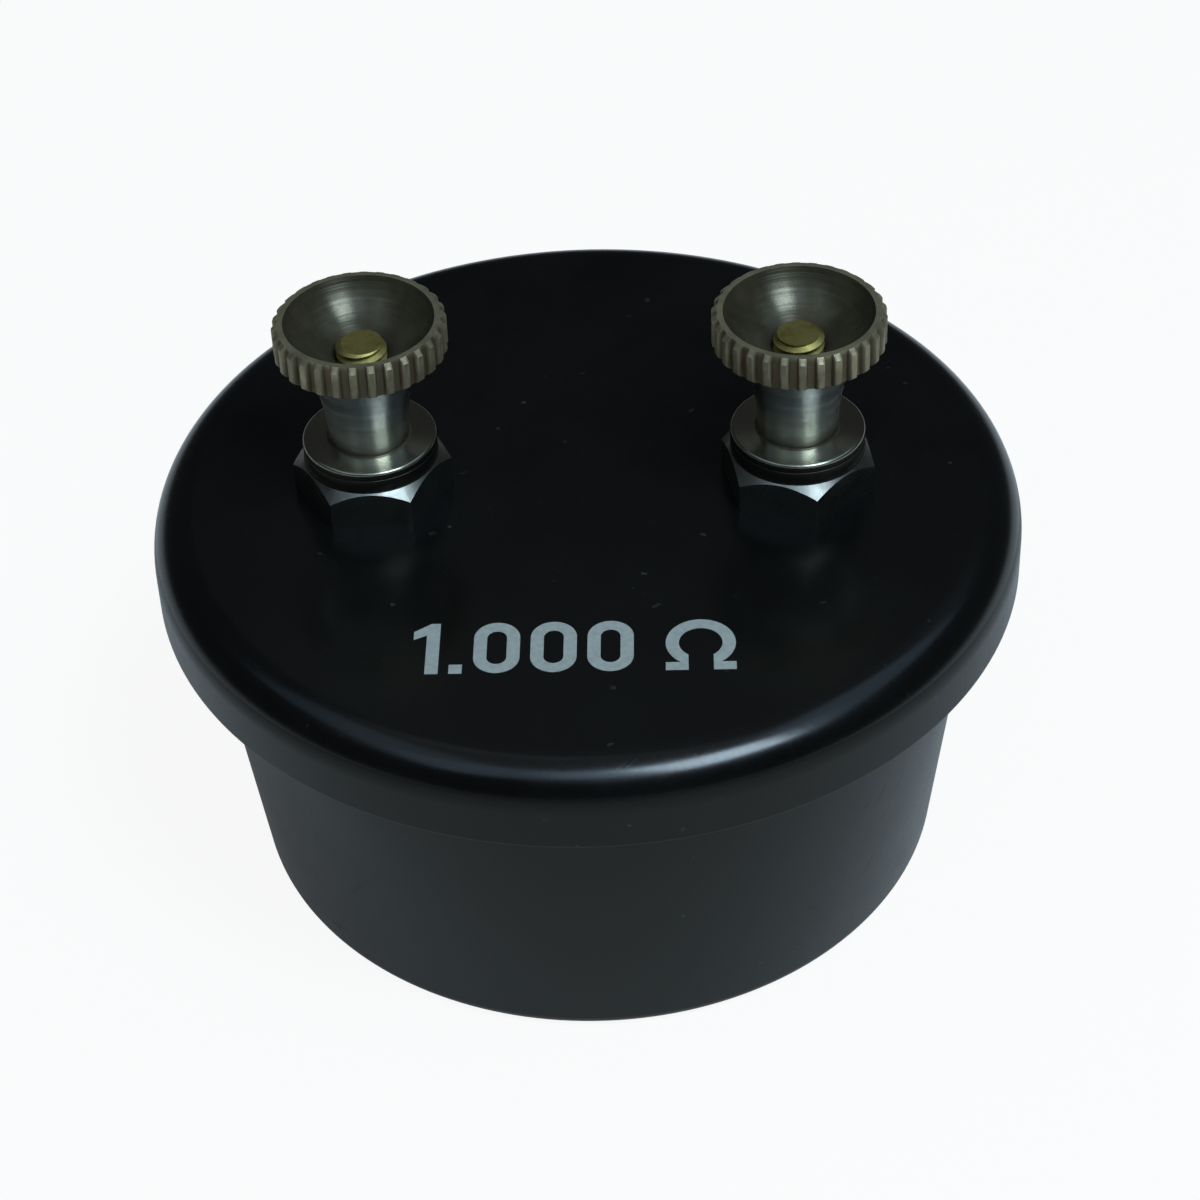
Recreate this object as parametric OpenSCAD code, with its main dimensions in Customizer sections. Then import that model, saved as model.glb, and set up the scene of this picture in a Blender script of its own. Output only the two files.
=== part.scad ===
// Wirewound resistance coil: a doubled-back winding in a round moulded case with two screw terminals.
// Millimetres, +Z up, origin at the middle of the case's underside, terminals along X.

/* [Lid] */
// Outside diameter of the lid
lid_d = 70; // [66:0.5:90]
// Height of the lid's top face above the table
case_h = 33.5; // [31:0.5:45]
// Radius round the lid's top edge
lid_edge_r = 3.2; // [1:0.1:5]
// Depth of the lid's skirt, from the top face down
lid_skirt_h = 6.7; // [6:0.1:10]
// Radius round the skirt's lower edge
skirt_edge_r = 0.2; // [0.1:0.1:0.8]
// Thickness of the lid's plate
lid_plate_t = 4; // [3:0.1:5]
// Outside diameter of the boss under the middle of the lid
lid_boss_d = 11; // [9:0.5:13]

/* [Cup] */
// Outside diameter of the cup where it enters the lid
cup_top_d = 63.4; // [60:0.1:64]
// Outside diameter of the cup at the table, before its edge is rounded
cup_foot_d = 57.4; // [52:0.1:60]
// Radius round the cup's lower edge
cup_edge_r = 1.5; // [0.5:0.1:3]
// Thickness of the cup's wall
cup_wall = 2.6; // [1.8:0.1:4]
// Thickness of the cup's floor
cup_floor_t = 3.2; // [2:0.1:5]
// Radius inside the cup, between wall and floor
cup_inner_r = 2; // [0.5:0.1:3]
// Diameter of the boss in the cup that carries the bobbin
cup_boss_d = 18; // [14:0.5:22]
// Diameter of the hollow under the cup, inside its foot ring
foot_hollow_d = 46; // [30:1:50]
// Depth of that hollow
foot_hollow_h = 0.6; // [0.3:0.1:1]

/* [Terminals] */
// Distance between the two studs
stud_spacing = 34; // [30:0.5:42]
// Outside diameter of the studs' thread
stud_d = 4; // [3:0.5:5]
// Chamfer on the studs' ends
stud_chamfer = 0.3; // [0.1:0.1:0.5]
// Depth of the studs' tips below the thumb nuts' rims
tip_depth = 2.2; // [1:0.1:2.8]
// Width across the flats of the hexagon nuts
hex_af = 11; // [9:0.5:13]
// Height of the hexagon nuts
hex_h = 3.2; // [2.5:0.1:5]
// Diameter of the flat top inside the hexagon nuts' chamfer
hex_top_d = 10.8; // [8:0.1:11]
// Turn of the left hexagon nut, from a flat to the front
left_hex_turn = 2; // [-30:1:30]
// Turn of the right hexagon nut, from a flat to the front
right_hex_turn = -18; // [-30:1:30]

/* [Thumb nuts] */
// Diameter of the clamp washers and of the thumb nuts' flanges
clamp_d = 10.7; // [9:0.1:12]
// Thickness of the clamp washers
clamp_washer_t = 1.1; // [0.7:0.1:1.5]
// Diameter of the spigot that the clamp washer turns on
spigot_d = 6.2; // [5.5:0.1:7]
// Spread of the spigot's end that keeps the clamp washer on
spigot_lip = 0.4; // [0.2:0.05:0.5]
// Height of the thumb nuts, from the flange's face to the rim
nut_h = 11.8; // [9:0.1:14]
// Thickness of the thumb nuts' flanges
flange_t = 0.7; // [0.5:0.1:1.5]
// Radius round the flanges' upper edge
flange_edge_r = 0.25; // [0.1:0.05:0.4]
// Radius round the flanges' lower edge
flange_low_r = 0.05; // [0.02:0.01:0.1]
// Diameter of the thumb nuts' waists
waist_d = 6.5; // [6.3:0.1:9]
// Radius between the waist and the flange
waist_foot_r = 0.5; // [0.3:0.1:1.5]
// Radius between the waist and the head
waist_neck_r = 1; // [0.2:0.1:1.5]
// Diameter of the knurled heads
head_d = 13.6; // [11:0.1:16]
// Height of the knurled heads
head_h = 2.9; // [2:0.05:4]
// Chamfer on the heads' lower edge
head_low_chamfer = 0.3; // [0.1:0.05:0.5]
// Chamfer on the heads' upper edge
head_top_chamfer = 0.4; // [0.1:0.05:0.6]
// Width of the rim round the dish, with its chamfer
rim_w = 0.9; // [0.7:0.1:1.4]
// Depth of the dish where it meets the bore's countersink
dish_depth = 3.1; // [2:0.1:4]
// Width of the countersink at the bore's mouth
bore_sink = 0.4; // [0.2:0.1:0.6]
// Number of grooves in the knurl
knurl_count = 30; // [18:1:40]
// Depth of the grooves
knurl_depth = 0.45; // [0.2:0.05:0.6]
// Share of the knurl's pitch that the groove's mouth takes
knurl_open = 0.6; // [0.3:0.05:0.7]
// Share of the groove's mouth that its root takes
knurl_root = 0.65; // [0.2:0.05:0.8]

/* [Under the lid] */
// Diameter of the washers under the lid and of the tags' rings
under_washer_d = 9; // [8:0.1:11]
// Thickness of the washers under the lid
under_washer_t = 0.8; // [0.5:0.1:1.2]
// Thickness of the solder tags
tag_t = 0.6; // [0.4:0.1:1]
// Width of the solder tags' tails
tag_w = 3; // [2.5:0.1:4]
// Distance from a stud to its tag's eyelet
tag_reach = 9; // [7.5:0.1:12]
// Turn of the tags' tails from the line between the studs
tag_turn = 75; // [60:1:100]
// Diameter of the eyelets
eyelet_d = 1.4; // [1.2:0.1:2]
// Width across the flats of the nuts under the lid
under_nut_af = 7; // [6:0.5:8]
// Height of the nuts under the lid
under_nut_h = 2.4; // [2:0.1:3.5]
// Diameter of the flat inside those nuts' chamfer
under_nut_face_d = 6.6; // [5.5:0.1:7]
// Length of stud that shows below those nuts
stud_proud = 1; // [0.5:0.1:2]

/* [Coil] */
// Length of the resistance wire from tag to tag: 1 ohm in 0.71 mm bare copper-manganese wire
wire_len = 920; // [700:10:1100]
// Diameter of the wire over its cotton covering
wire_d = 0.9; // [0.6:0.05:1.1]
// Gap between neighbouring wires
wire_gap = 0.2; // [0.1:0.05:0.5]
// Radius of the bend where a wire end turns up to its tag
wire_bend_r = 1.5; // [1:0.1:2]
// Length of straight wire between that bend and the solder
wire_straight = 0.3; // [0.1:0.1:1]
// Length of wire that shows above the solder
wire_tail = 0.15; // [0.05:0.05:0.2]
// Height of the solder cones under the tags
solder_low_h = 1; // [0.5:0.1:1.5]
// Height of the solder cones on the tags
solder_top_h = 0.4; // [0.2:0.1:0.6]
// Width of solder round the eyelets
solder_w = 0.5; // [0.2:0.1:0.8]
// Thickness of the solder cones' edges at the wire
solder_edge = 0.15; // [0.1:0.05:0.3]
// Depth of the bobbin's winding channel
channel_depth = 1.8; // [1.4:0.1:3]
// Thickness of the bobbin's flanges
bobbin_flange_t = 2; // [1:0.1:3]
// Diameter of the collar that spaces the bobbin from the lid
bobbin_collar_d = 18; // [15:0.5:22]

/* [Case screw] */
// Diameter of the case screw
screw_d = 4; // [3:0.5:4.5]
// Diameter of the screw's head
screw_head_d = 7; // [6:0.1:8]
// Height of the screw's head
screw_head_h = 2.6; // [2:0.1:3]
// Width of the slot in the screw's head
slot_w = 1; // [0.8:0.1:1.4]
// Depth of that slot
slot_depth = 1.2; // [0.8:0.1:1.6]
// Chamfer on the screw's head and tip
screw_chamfer = 0.3; // [0.1:0.1:0.5]
// Depth of the screw's head above the table
screw_recess = 0.6; // [0.4:0.1:1.5]
// Diameter of the screw's washer
screw_washer_d = 8.6; // [7.5:0.1:10]
// Thickness of the screw's washer
screw_washer_t = 0.8; // [0.5:0.1:1.2]
// Diameter of the threaded insert
insert_d = 6.4; // [5.5:0.1:7.5]
// Length of the threaded insert
insert_h = 8; // [6:0.5:10]
// Length of screw inside the insert
screw_grip = 6.5; // [5:0.5:9]

/* [Clearances] */
// Radial gap between the cup's rim and the lid's skirt
rim_clear = 0.15; // [0.05:0.05:0.3]
// Radial gap between a thread and the piece that runs on it
thread_clear = 0.05; // [0.02:0.01:0.1]
// Gap between faces that slide on each other
slide_clear = 0.05; // [0.02:0.01:0.1]
// Radial gap round a stud or screw in a plain hole
hole_clear = 0.15; // [0.05:0.05:0.3]
// Radial gap between the bobbin and the lid's boss
bobbin_clear = 0.15; // [0.05:0.05:0.3]
// Gap between the winding and the bobbin's core
winding_clear = 0.2; // [0.15:0.05:0.4]
// Gap between the bobbin and the terminals' hardware
flange_clear = 0.5; // [0.3:0.1:1]
// Gap between the lid's boss and the cup's boss
boss_clear = 0.8; // [0.3:0.1:2]
// Room above the screw's tip
tip_clear = 1; // [0.5:0.1:2]

/* [Hidden] */
$fn = 96;

black_phenolic = [0.07, 0.075, 0.075];
brown_phenolic = [0.36, 0.22, 0.12];
nickel_plate = [0.62, 0.6, 0.53];
bare_brass = [0.66, 0.55, 0.27];
tinned_copper = [0.74, 0.72, 0.68];
solder_grey = [0.66, 0.67, 0.69];
green_cotton = [0.27, 0.36, 0.25];

// Overlap that carries a cut clear through a face
cut = 1;

// Heights and radii of the case
lid_r = lid_d / 2;
lid_under_z = case_h - lid_plate_t;
skirt_z = case_h - lid_skirt_h;
cup_top_r = cup_top_d / 2;
cup_foot_r = cup_foot_d / 2;
taper_slope = (cup_top_r - cup_foot_r) / skirt_z;
taper_turn = atan(taper_slope);
cup_edge_x = cup_foot_r + cup_edge_r * (taper_slope - 1 / cos(taper_turn));

// Heights above the lid, from the hexagon nut up to the rim
clamp_washer_z = case_h + hex_h + slide_clear;
nut_z = clamp_washer_z + clamp_washer_t + slide_clear;
rim_z = nut_z + nut_h;

// Heights under the lid, from the washer down to the stud's end
under_washer_z = lid_under_z - under_washer_t;
tag_z = under_washer_z - tag_t;
under_nut_z = tag_z - under_nut_h;
stud_z = under_nut_z - stud_proud;
stud_x = stud_spacing / 2;
stud_hole_r = stud_d / 2 + hole_clear;
nut_bore_r = stud_d / 2 + thread_clear;

// Thumb nut radii
spigot_r = spigot_d / 2;
waist_r = waist_d / 2;
head_r = head_d / 2;
head_z = nut_h - head_h;

// The dish is part of a ball whose middle lies above the rim
dish_rim_r = head_r - rim_w;
sink_r = nut_bore_r + bore_sink;
dish_rise = (dish_rim_r ^ 2 - sink_r ^ 2 - dish_depth ^ 2) / (2 * dish_depth);
dish_ball_r = sqrt(dish_rim_r ^ 2 + dish_rise ^ 2);

// Bobbin and winding: the channel's width follows from the number of turns that the wire makes
hardware_r = max(under_washer_d / 2, under_nut_af / 2 / cos(30));
bobbin_flange_r = stud_x - hardware_r - flange_clear;
core_r = bobbin_flange_r - channel_depth;
winding_r = core_r + winding_clear + wire_d / 2;
wire_pitch = wire_d + wire_gap;
turn_rise = 2 * wire_pitch;
winding_top_z = tag_z - solder_low_h - wire_straight - wire_bend_r;
wire_end_z = under_washer_z + solder_top_h + wire_tail;
eyelet = [tag_reach * cos(tag_turn) - stud_x, tag_reach * sin(tag_turn)];
eyelet_turn = atan2(eyelet.y, eyelet.x);
start_turn = eyelet_turn + acos(winding_r / norm(eyelet));
lead_run = sqrt(norm(eyelet) ^ 2 - winding_r ^ 2);
lead_len = lead_run + wire_end_z - winding_top_z;
turns = (wire_len - 2 * lead_len) / (2 * 2 * PI * winding_r) - 0.25;
channel_h = (turns + 0.5) * turn_rise + wire_d + 2 * wire_gap;
channel_z = winding_top_z + wire_d / 2 + wire_gap - channel_h;
bobbin_z = channel_z - bobbin_flange_t;
bobbin_bore_r = lid_boss_d / 2 + bobbin_clear;

// Case screw and insert
screw_seat_z = screw_recess + screw_head_h;
screw_pocket_h = screw_seat_z + screw_washer_t;
lid_boss_z = bobbin_z + boss_clear;
screw_tip_z = lid_boss_z + screw_grip;
screw_hole_r = screw_d / 2 + hole_clear;

// Facets of the swept wire
wire_sides = 6;
steps_per_turn = 20;
bend_steps = 4;
loop_steps = 6;

// Half section with the outer corners rounded, from z_low to z_high
module rounded_half(r, z_low, z_high, low_r, high_r) {
    translate([0, z_low + low_r])
        square([r, z_high - high_r - z_low - low_r]);
    translate([0, z_low])
        square([r - low_r, z_high - high_r - z_low]);
    translate([0, z_low + low_r])
        square([r - high_r, z_high - z_low - low_r]);
    translate([r - low_r, z_low + low_r])
        circle(low_r);
    translate([r - high_r, z_high - high_r])
        circle(high_r);
}

// Concave quarter between a wall at x = 0 and a floor at y = 0
module inner_corner(r) {
    difference() {
        square(r);
        translate([r, r])
            circle(r);
    }
}

// Ring or bush with a true bore
module ring(outer_r, bore_r, h) {
    linear_extrude(h)
        difference() {
            circle(outer_r);
            circle(bore_r);
        }
}

// Hexagon nut with a 45 degree chamfer on its upper face
module chamfered_hexagon(af, h, face_d, bore_r) {
    corner_r = af / 2 / cos(30);
    chamfer = corner_r - face_d / 2;
    difference() {
        intersection() {
            cylinder(r = corner_r, h = h, $fn = 6);
            rotate_extrude()
                polygon([
                    [0, 0], [corner_r, 0], [corner_r, h - chamfer], [face_d / 2, h], [0, h],
                ]);
        }
        translate([0, 0, -cut])
            cylinder(r = bore_r, h = h + 2 * cut);
    }
}

// The right terminal is the left one turned half round
module at_left() {
    translate([-stud_x, 0, 0])
        children();
}

module at_right() {
    rotate(180)
        at_left()
            children();
}

module case_lid() {
    color(black_phenolic)
        difference() {
            rotate_extrude()
                difference() {
                    union() {
                        difference() {
                            rounded_half(lid_r, skirt_z, case_h, skirt_edge_r, lid_edge_r);
                            translate([0, skirt_z - cut])
                                square([cup_top_r + rim_clear, lid_skirt_h - lid_plate_t + cut]);
                        }
                        translate([0, lid_boss_z])
                            square([lid_boss_d / 2, lid_under_z - lid_boss_z]);
                    }
                    translate([0, lid_boss_z - cut])
                        square([insert_d / 2, insert_h + cut]);
                    translate([0, lid_boss_z])
                        square([screw_hole_r, max(insert_h, screw_grip + tip_clear)]);
                }
            for (x = [-stud_x, stud_x])
                translate([x, 0, lid_under_z - cut])
                    cylinder(r = stud_hole_r, h = lid_plate_t + 2 * cut);
        }
}

// Outside of the cup: a tapered wall with a rounded foot and a straight rim inside the lid
module cup_outside() {
    polygon([
        [0, 0],
        [cup_edge_x, 0],
        [cup_edge_x + cup_edge_r * cos(taper_turn), cup_edge_r * (1 - sin(taper_turn))],
        [cup_top_r, skirt_z],
        [cup_top_r, lid_under_z],
        [0, lid_under_z],
    ]);
    translate([cup_edge_x, cup_edge_r])
        circle(cup_edge_r);
}

// Inside of the cup: the wall keeps its thickness and meets the floor in a radius
module cup_inside() {
    inner_top_r = cup_top_r - cup_wall;
    inner_foot_r = cup_foot_r + taper_slope * cup_floor_t - cup_wall / cos(taper_turn);
    corner_x = inner_foot_r + cup_inner_r * (taper_slope - 1 / cos(taper_turn));
    polygon([
        [0, cup_floor_t],
        [corner_x, cup_floor_t],
        [corner_x + cup_inner_r * cos(taper_turn), cup_floor_t + cup_inner_r * (1 - sin(taper_turn))],
        [inner_top_r, skirt_z],
        [inner_top_r, lid_under_z + cut],
        [0, lid_under_z + cut],
    ]);
    translate([corner_x, cup_floor_t + cup_inner_r])
        circle(cup_inner_r);
}

module case_cup() {
    color(black_phenolic)
        rotate_extrude()
            difference() {
                union() {
                    difference() {
                        cup_outside();
                        cup_inside();
                    }
                    translate([0, cup_floor_t - foot_hollow_h])
                        square([cup_boss_d / 2, bobbin_z - cup_floor_t + foot_hollow_h]);
                }
                translate([0, -cut])
                    square([foot_hollow_d / 2, foot_hollow_h + cut]);
                translate([0, -cut])
                    square([screw_washer_d / 2 + hole_clear, screw_pocket_h + cut]);
                square([screw_hole_r, bobbin_z + cut]);
            }
}

module case_screw() {
    color(nickel_plate)
        difference() {
            rotate_extrude()
                polygon([
                    [0, screw_recess],
                    [screw_head_d / 2 - screw_chamfer, screw_recess],
                    [screw_head_d / 2, screw_recess + screw_chamfer],
                    [screw_head_d / 2, screw_seat_z],
                    [screw_d / 2, screw_seat_z],
                    [screw_d / 2, screw_tip_z - screw_chamfer],
                    [screw_d / 2 - screw_chamfer, screw_tip_z],
                    [0, screw_tip_z],
                ]);
            translate([-screw_head_d / 2 - cut, -slot_w / 2, screw_recess - cut])
                cube([screw_head_d + 2 * cut, slot_w, slot_depth + cut]);
        }
}

module screw_washer() {
    color(nickel_plate)
        translate([0, 0, screw_seat_z])
            ring(screw_washer_d / 2, screw_hole_r, screw_washer_t);
}

module lid_insert() {
    color(bare_brass)
        translate([0, 0, lid_boss_z])
            ring(insert_d / 2, screw_d / 2 + thread_clear, insert_h);
}

module bobbin() {
    collar_z = channel_z + channel_h + bobbin_flange_t;
    color(brown_phenolic)
        rotate_extrude()
            polygon([
                [bobbin_bore_r, bobbin_z],
                [bobbin_flange_r, bobbin_z],
                [bobbin_flange_r, channel_z],
                [core_r, channel_z],
                [core_r, channel_z + channel_h],
                [bobbin_flange_r, channel_z + channel_h],
                [bobbin_flange_r, collar_z],
                [bobbin_collar_d / 2, collar_z],
                [bobbin_collar_d / 2, lid_under_z],
                [bobbin_bore_r, lid_under_z],
            ]);
}

// The wire's route is a list of stations: a place, and the turn of the outward direction there.
function outward(turn) = [cos(turn), sin(turn), 0];

function forward(turn) = [-sin(turn), cos(turn), 0];

function on_winding(turn, z) = [winding_r * outward(turn) + [0, 0, z], turn];

// One wire end, from above its tag down to the bend and on to the winding it meets in a tangent
function lead(turn) = let(
    bend = on_winding(turn, winding_top_z + wire_bend_r)[0] - (lead_run - wire_bend_r) * forward(turn)
) concat(
    [[bend - wire_bend_r * forward(turn) + [0, 0, wire_end_z - bend.z], turn]],
    [for (i = [0:bend_steps])
        let(a = 90 * i / bend_steps)
        [bend - wire_bend_r * (cos(a) * forward(turn) + sin(a) * [0, 0, 1]), turn]]
);

// One of the two wires that lie side by side on the bobbin
function strand(turn, count) = let(steps = ceil(count * steps_per_turn)) [
    for (i = [0:steps])
        let(part = count * i / steps)
        on_winding(turn + 360 * part, winding_top_z - turn_rise * part)
];

// The loop at the lower end, where the wire turns back on itself
function return_loop(turn, z) = [
    for (i = [1:loop_steps - 1])
        let(a = 180 * i / loop_steps)
        [
            on_winding(turn, z + wire_pitch / 2 * (1 - cos(a)))[0]
                + wire_pitch / 2 * sin(a) * forward(turn),
            turn,
        ]
];

function reversed(list) = [for (i = [len(list) - 1:-1:0]) list[i]];

wire_route = concat(
    lead(start_turn),
    strand(start_turn, turns + 0.5),
    return_loop(start_turn + 360 * (turns + 0.5), winding_top_z - turn_rise * (turns + 0.5)),
    reversed(strand(start_turn + 180, turns)),
    reversed(lead(start_turn + 180))
);

function along(route, i) = let(
    step = route[min(i + 1, len(route) - 1)][0] - route[max(i - 1, 0)][0]
) step / norm(step);

module resistance_winding() {
    stations = len(wire_route);
    rings = [
        for (i = [0:stations - 1])
            let(
                side = outward(wire_route[i][1]),
                rise = cross(along(wire_route, i), side)
            )
            for (k = [0:wire_sides - 1])
                let(a = 360 * k / wire_sides)
                wire_route[i][0] + wire_d / 2 * (cos(a) * side + sin(a) * rise)
    ];
    walls = [
        for (i = [0:stations - 2])
            for (k = [0:wire_sides - 1])
                let(
                    here = i * wire_sides,
                    next = here + wire_sides,
                    beside = (k + 1) % wire_sides
                )
                [here + k, next + k, next + beside, here + beside]
    ];
    first_end = [for (k = [0:wire_sides - 1]) k];
    last_end = [for (k = [wire_sides - 1:-1:0]) (stations - 1) * wire_sides + k];
    color(green_cotton)
        polyhedron(rings, concat(walls, [first_end, last_end]));
}

module terminal_stud() {
    tip_z = rim_z - tip_depth;
    color(bare_brass)
        rotate_extrude()
            polygon([
                [0, stud_z],
                [stud_d / 2 - stud_chamfer, stud_z],
                [stud_d / 2, stud_z + stud_chamfer],
                [stud_d / 2, tip_z - stud_chamfer],
                [stud_d / 2 - stud_chamfer, tip_z],
                [0, tip_z],
            ]);
}

module hex_nut(turn) {
    color(nickel_plate)
        translate([0, 0, case_h])
            rotate(turn)
                chamfered_hexagon(hex_af, hex_h, hex_top_d, nut_bore_r);
}

// The countersunk underside hides the spread end of the thumb nut's spigot
module clamp_washer() {
    bore_r = spigot_r + slide_clear;
    color(nickel_plate)
        translate([0, 0, clamp_washer_z])
            rotate_extrude()
                polygon([
                    [bore_r + spigot_lip + slide_clear, 0],
                    [clamp_d / 2, 0],
                    [clamp_d / 2, clamp_washer_t],
                    [bore_r, clamp_washer_t],
                    [bore_r, spigot_lip + slide_clear],
                ]);
}

// Half section of the thumb nut, from the spigot's spread end up to the rim
module thumb_nut_section() {
    difference() {
        union() {
            polygon([
                [0, -clamp_washer_t],
                [spigot_r + spigot_lip, -clamp_washer_t],
                [spigot_r, spigot_lip - clamp_washer_t],
                [spigot_r, flange_t],
                [0, flange_t],
            ]);
            rounded_half(clamp_d / 2, 0, flange_t, flange_low_r, flange_edge_r);
            square([waist_r, nut_h]);
            translate([waist_r, flange_t])
                inner_corner(waist_foot_r);
            translate([waist_r, head_z])
                mirror([0, 1])
                    inner_corner(waist_neck_r);
            polygon([
                [0, head_z],
                [head_r - head_low_chamfer, head_z],
                [head_r, head_z + head_low_chamfer],
                [head_r, nut_h - head_top_chamfer],
                [head_r - head_top_chamfer, nut_h],
                [0, nut_h],
            ]);
        }
        translate([0, nut_h + dish_rise])
            circle(dish_ball_r);
        polygon([
            [0, nut_h],
            [sink_r, nut_h],
            [sink_r, nut_h - dish_depth],
            [nut_bore_r, nut_h - dish_depth - bore_sink],
            [0, nut_h - dish_depth - bore_sink],
        ]);
        translate([0, -clamp_washer_t - cut])
            square([nut_bore_r, nut_h + clamp_washer_t + 2 * cut]);
    }
}

module knurl_groove() {
    mouth = knurl_open * PI * head_d / knurl_count;
    root = knurl_root * mouth;
    flare = (mouth - root) / 2 / knurl_depth;
    translate([head_r, 0, head_z - cut])
        linear_extrude(head_h + 2 * cut)
            polygon([
                [-knurl_depth, -root / 2],
                [cut, -mouth / 2 - flare * cut],
                [cut, mouth / 2 + flare * cut],
                [-knurl_depth, root / 2],
            ]);
}

module thumb_nut() {
    color(nickel_plate)
        translate([0, 0, nut_z])
            difference() {
                rotate_extrude()
                    thumb_nut_section();
                for (i = [0:knurl_count - 1])
                    rotate(360 * i / knurl_count)
                        knurl_groove();
            }
}

module under_washer() {
    color(nickel_plate)
        translate([0, 0, under_washer_z])
            ring(under_washer_d / 2, stud_hole_r, under_washer_t);
}

module solder_tag() {
    color(tinned_copper)
        translate([0, 0, tag_z])
            rotate(tag_turn)
                linear_extrude(tag_t)
                    difference() {
                        union() {
                            circle(under_washer_d / 2);
                            translate([0, -tag_w / 2])
                                square([tag_reach, tag_w]);
                            translate([tag_reach, 0])
                                circle(tag_w / 2);
                        }
                        circle(stud_hole_r);
                        translate([tag_reach, 0])
                            circle(eyelet_d / 2);
                    }
}

module under_nut() {
    color(bare_brass)
        translate([0, 0, tag_z])
            mirror([0, 0, 1])
                chamfered_hexagon(under_nut_af, under_nut_h, under_nut_face_d, nut_bore_r);
}

// Solder fills the eyelet round the wire and stands out as a cone on both faces of the tag
module solder_joint() {
    wire_r = wire_d / 2 + thread_clear;
    foot_r = eyelet_d / 2 + solder_w;
    color(solder_grey)
        translate([0, 0, tag_z])
            rotate(tag_turn)
                translate([tag_reach, 0, 0])
                    rotate_extrude()
                        polygon([
                            [wire_r, -solder_low_h],
                            [wire_r + solder_edge, -solder_low_h],
                            [foot_r, 0],
                            [eyelet_d / 2, 0],
                            [eyelet_d / 2, tag_t],
                            [foot_r, tag_t],
                            [wire_r + solder_edge, tag_t + solder_top_h],
                            [wire_r, tag_t + solder_top_h],
                        ]);
}

module left_terminal_stud() { at_left() terminal_stud(); }
module left_hex_nut() { at_left() hex_nut(left_hex_turn); }
module left_clamp_washer() { at_left() clamp_washer(); }
module left_thumb_nut() { at_left() thumb_nut(); }
module left_under_washer() { at_left() under_washer(); }
module left_solder_tag() { at_left() solder_tag(); }
module left_under_nut() { at_left() under_nut(); }
module left_solder_joint() { at_left() solder_joint(); }
module right_terminal_stud() { at_right() terminal_stud(); }
module right_hex_nut() { at_right() hex_nut(right_hex_turn); }
module right_clamp_washer() { at_right() clamp_washer(); }
module right_thumb_nut() { at_right() thumb_nut(); }
module right_under_washer() { at_right() under_washer(); }
module right_solder_tag() { at_right() solder_tag(); }
module right_under_nut() { at_right() under_nut(); }
module right_solder_joint() { at_right() solder_joint(); }

case_lid();
case_cup();
case_screw();
screw_washer();
lid_insert();
bobbin();
resistance_winding();
left_terminal_stud();
left_hex_nut();
left_clamp_washer();
left_thumb_nut();
left_under_washer();
left_solder_tag();
left_under_nut();
left_solder_joint();
right_terminal_stud();
right_hex_nut();
right_clamp_washer();
right_thumb_nut();
right_under_washer();
right_solder_tag();
right_under_nut();
right_solder_joint();
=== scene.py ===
"""Looks of a wirewound resistance coil in a moulded case, built around its packed solids."""

from functools import wraps
from math import asin, cos, hypot, pi, radians, sin, tan

import bmesh
import bpy
from bpy.props import FloatProperty, FloatVectorProperty, IntProperty, PointerProperty
from mathutils import Matrix, Vector


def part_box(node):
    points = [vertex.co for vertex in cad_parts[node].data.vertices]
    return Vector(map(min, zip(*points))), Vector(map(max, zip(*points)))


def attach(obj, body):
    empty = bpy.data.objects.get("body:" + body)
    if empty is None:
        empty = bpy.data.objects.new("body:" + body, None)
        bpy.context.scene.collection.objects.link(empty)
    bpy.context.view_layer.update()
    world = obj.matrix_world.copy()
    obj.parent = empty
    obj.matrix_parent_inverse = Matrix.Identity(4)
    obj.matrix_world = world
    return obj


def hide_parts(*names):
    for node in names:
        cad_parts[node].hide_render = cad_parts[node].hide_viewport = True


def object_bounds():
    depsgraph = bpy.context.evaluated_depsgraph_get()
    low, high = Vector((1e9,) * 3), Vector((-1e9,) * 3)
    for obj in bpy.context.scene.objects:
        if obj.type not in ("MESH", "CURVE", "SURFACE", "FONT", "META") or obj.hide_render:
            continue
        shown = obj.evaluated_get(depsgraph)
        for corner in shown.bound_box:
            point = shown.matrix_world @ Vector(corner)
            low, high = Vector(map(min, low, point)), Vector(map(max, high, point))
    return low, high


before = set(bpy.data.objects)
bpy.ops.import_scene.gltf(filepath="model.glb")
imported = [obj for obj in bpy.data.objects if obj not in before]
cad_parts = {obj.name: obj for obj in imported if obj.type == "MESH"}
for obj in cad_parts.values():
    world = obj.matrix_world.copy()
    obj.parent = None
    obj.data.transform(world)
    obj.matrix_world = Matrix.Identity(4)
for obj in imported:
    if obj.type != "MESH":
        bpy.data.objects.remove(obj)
CAD_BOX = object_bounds()

bl_info = {
    "name": "Resistance Coil",
    "version": (1, 0, 0),
    "blender": (4, 5, 0),
    "location": "View3D > Sidebar > Coil",
    "description": "Dresses the solids of a wirewound resistance coil in a moulded case",
    "category": "Object",
}

SIDES = ("left", "right")

# Sides of a hexagon, and facets round a small turned piece
HEX = 6
FACETS = 16 * HEX

# Distance under which two vertices are one, and the angle past which an edge shades as a crease
WELD = 1e-6
CREASE = radians(32)


def length(name, description, default):
    """A size in metres."""
    return FloatProperty(
        name=name, description=description, default=default, min=0.0,
        subtype="DISTANCE", unit="LENGTH", precision=5,
    )


def point(name, description, default):
    """A place in metres."""
    return FloatVectorProperty(
        name=name, description=description, default=default, size=len(default),
        subtype="XYZ", unit="LENGTH", precision=5,
    )


def angle(name, description, degrees):
    """An angle that is written in degrees."""
    return FloatProperty(
        name=name, description=description, default=radians(degrees),
        subtype="ANGLE", unit="ROTATION",
    )


def count(name, description, default, low, high):
    """A whole number."""
    return IntProperty(name=name, description=description, default=default, min=low, max=high)


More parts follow.
